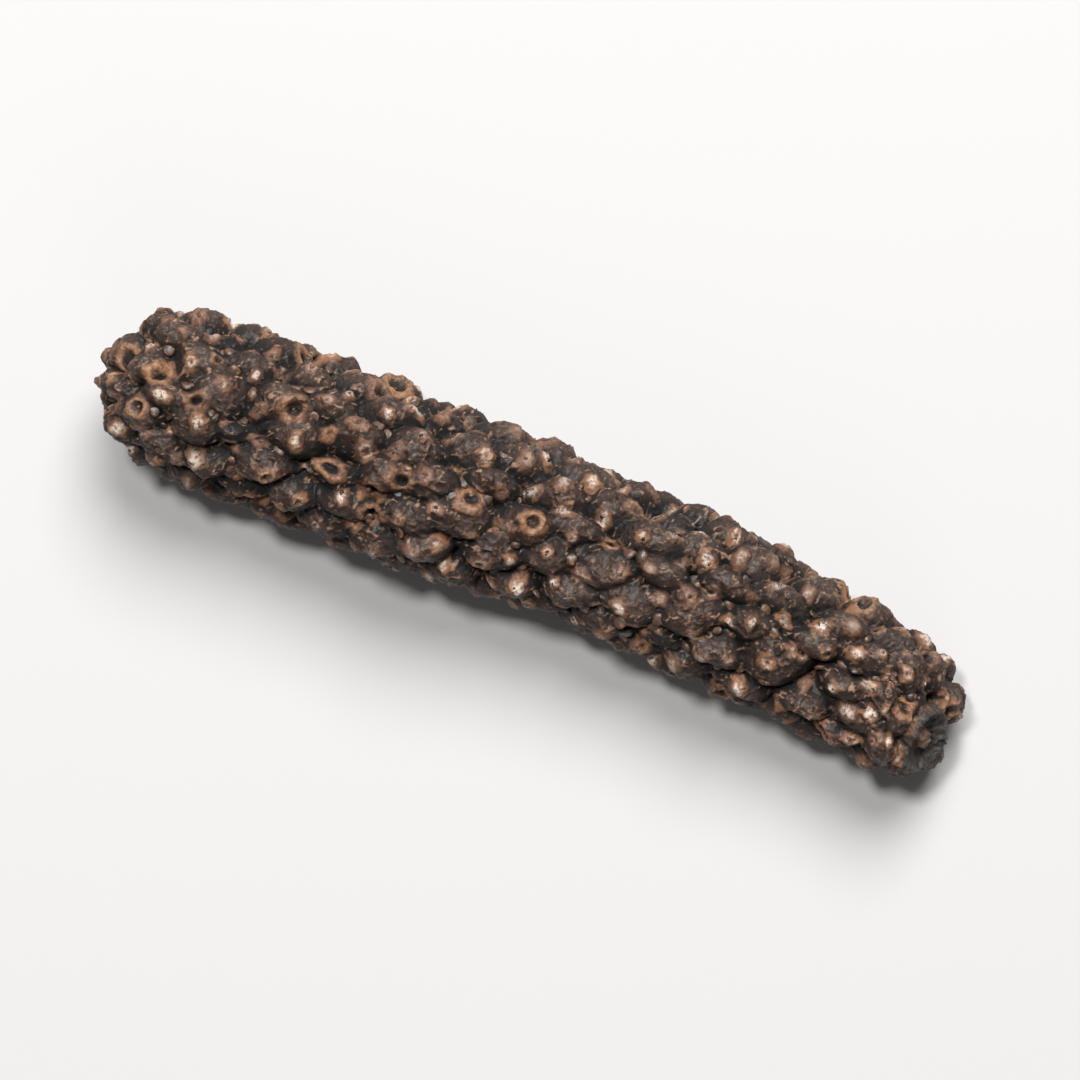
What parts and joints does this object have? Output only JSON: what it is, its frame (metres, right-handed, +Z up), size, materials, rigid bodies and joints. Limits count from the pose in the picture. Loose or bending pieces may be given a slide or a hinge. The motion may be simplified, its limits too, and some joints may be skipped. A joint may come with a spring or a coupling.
{
  "type": "dried long pepper spike",
  "caption": "Dried long pepper fruit spike lying on its side: a slim, slightly bent catkin of fused drupelets with a rounded tip and a stalk scar at its blunt base.",
  "frame": {"origin": "middle of the spike's box, on the surface that it rests on", "axes": "+X along the spike from its rounded tip to its base, +Z up"},
  "size_m": [0.0266, 0.0058, 0.0052],
  "materials": {
    "dried_skin": "dark brown dried skin, half matt, darker in the creases, with orange-brown rims on the crowns"
  },
  "bodies": {
    "root": {"long_pepper_spike": "dried_skin"}
  },
  "joints": []
}
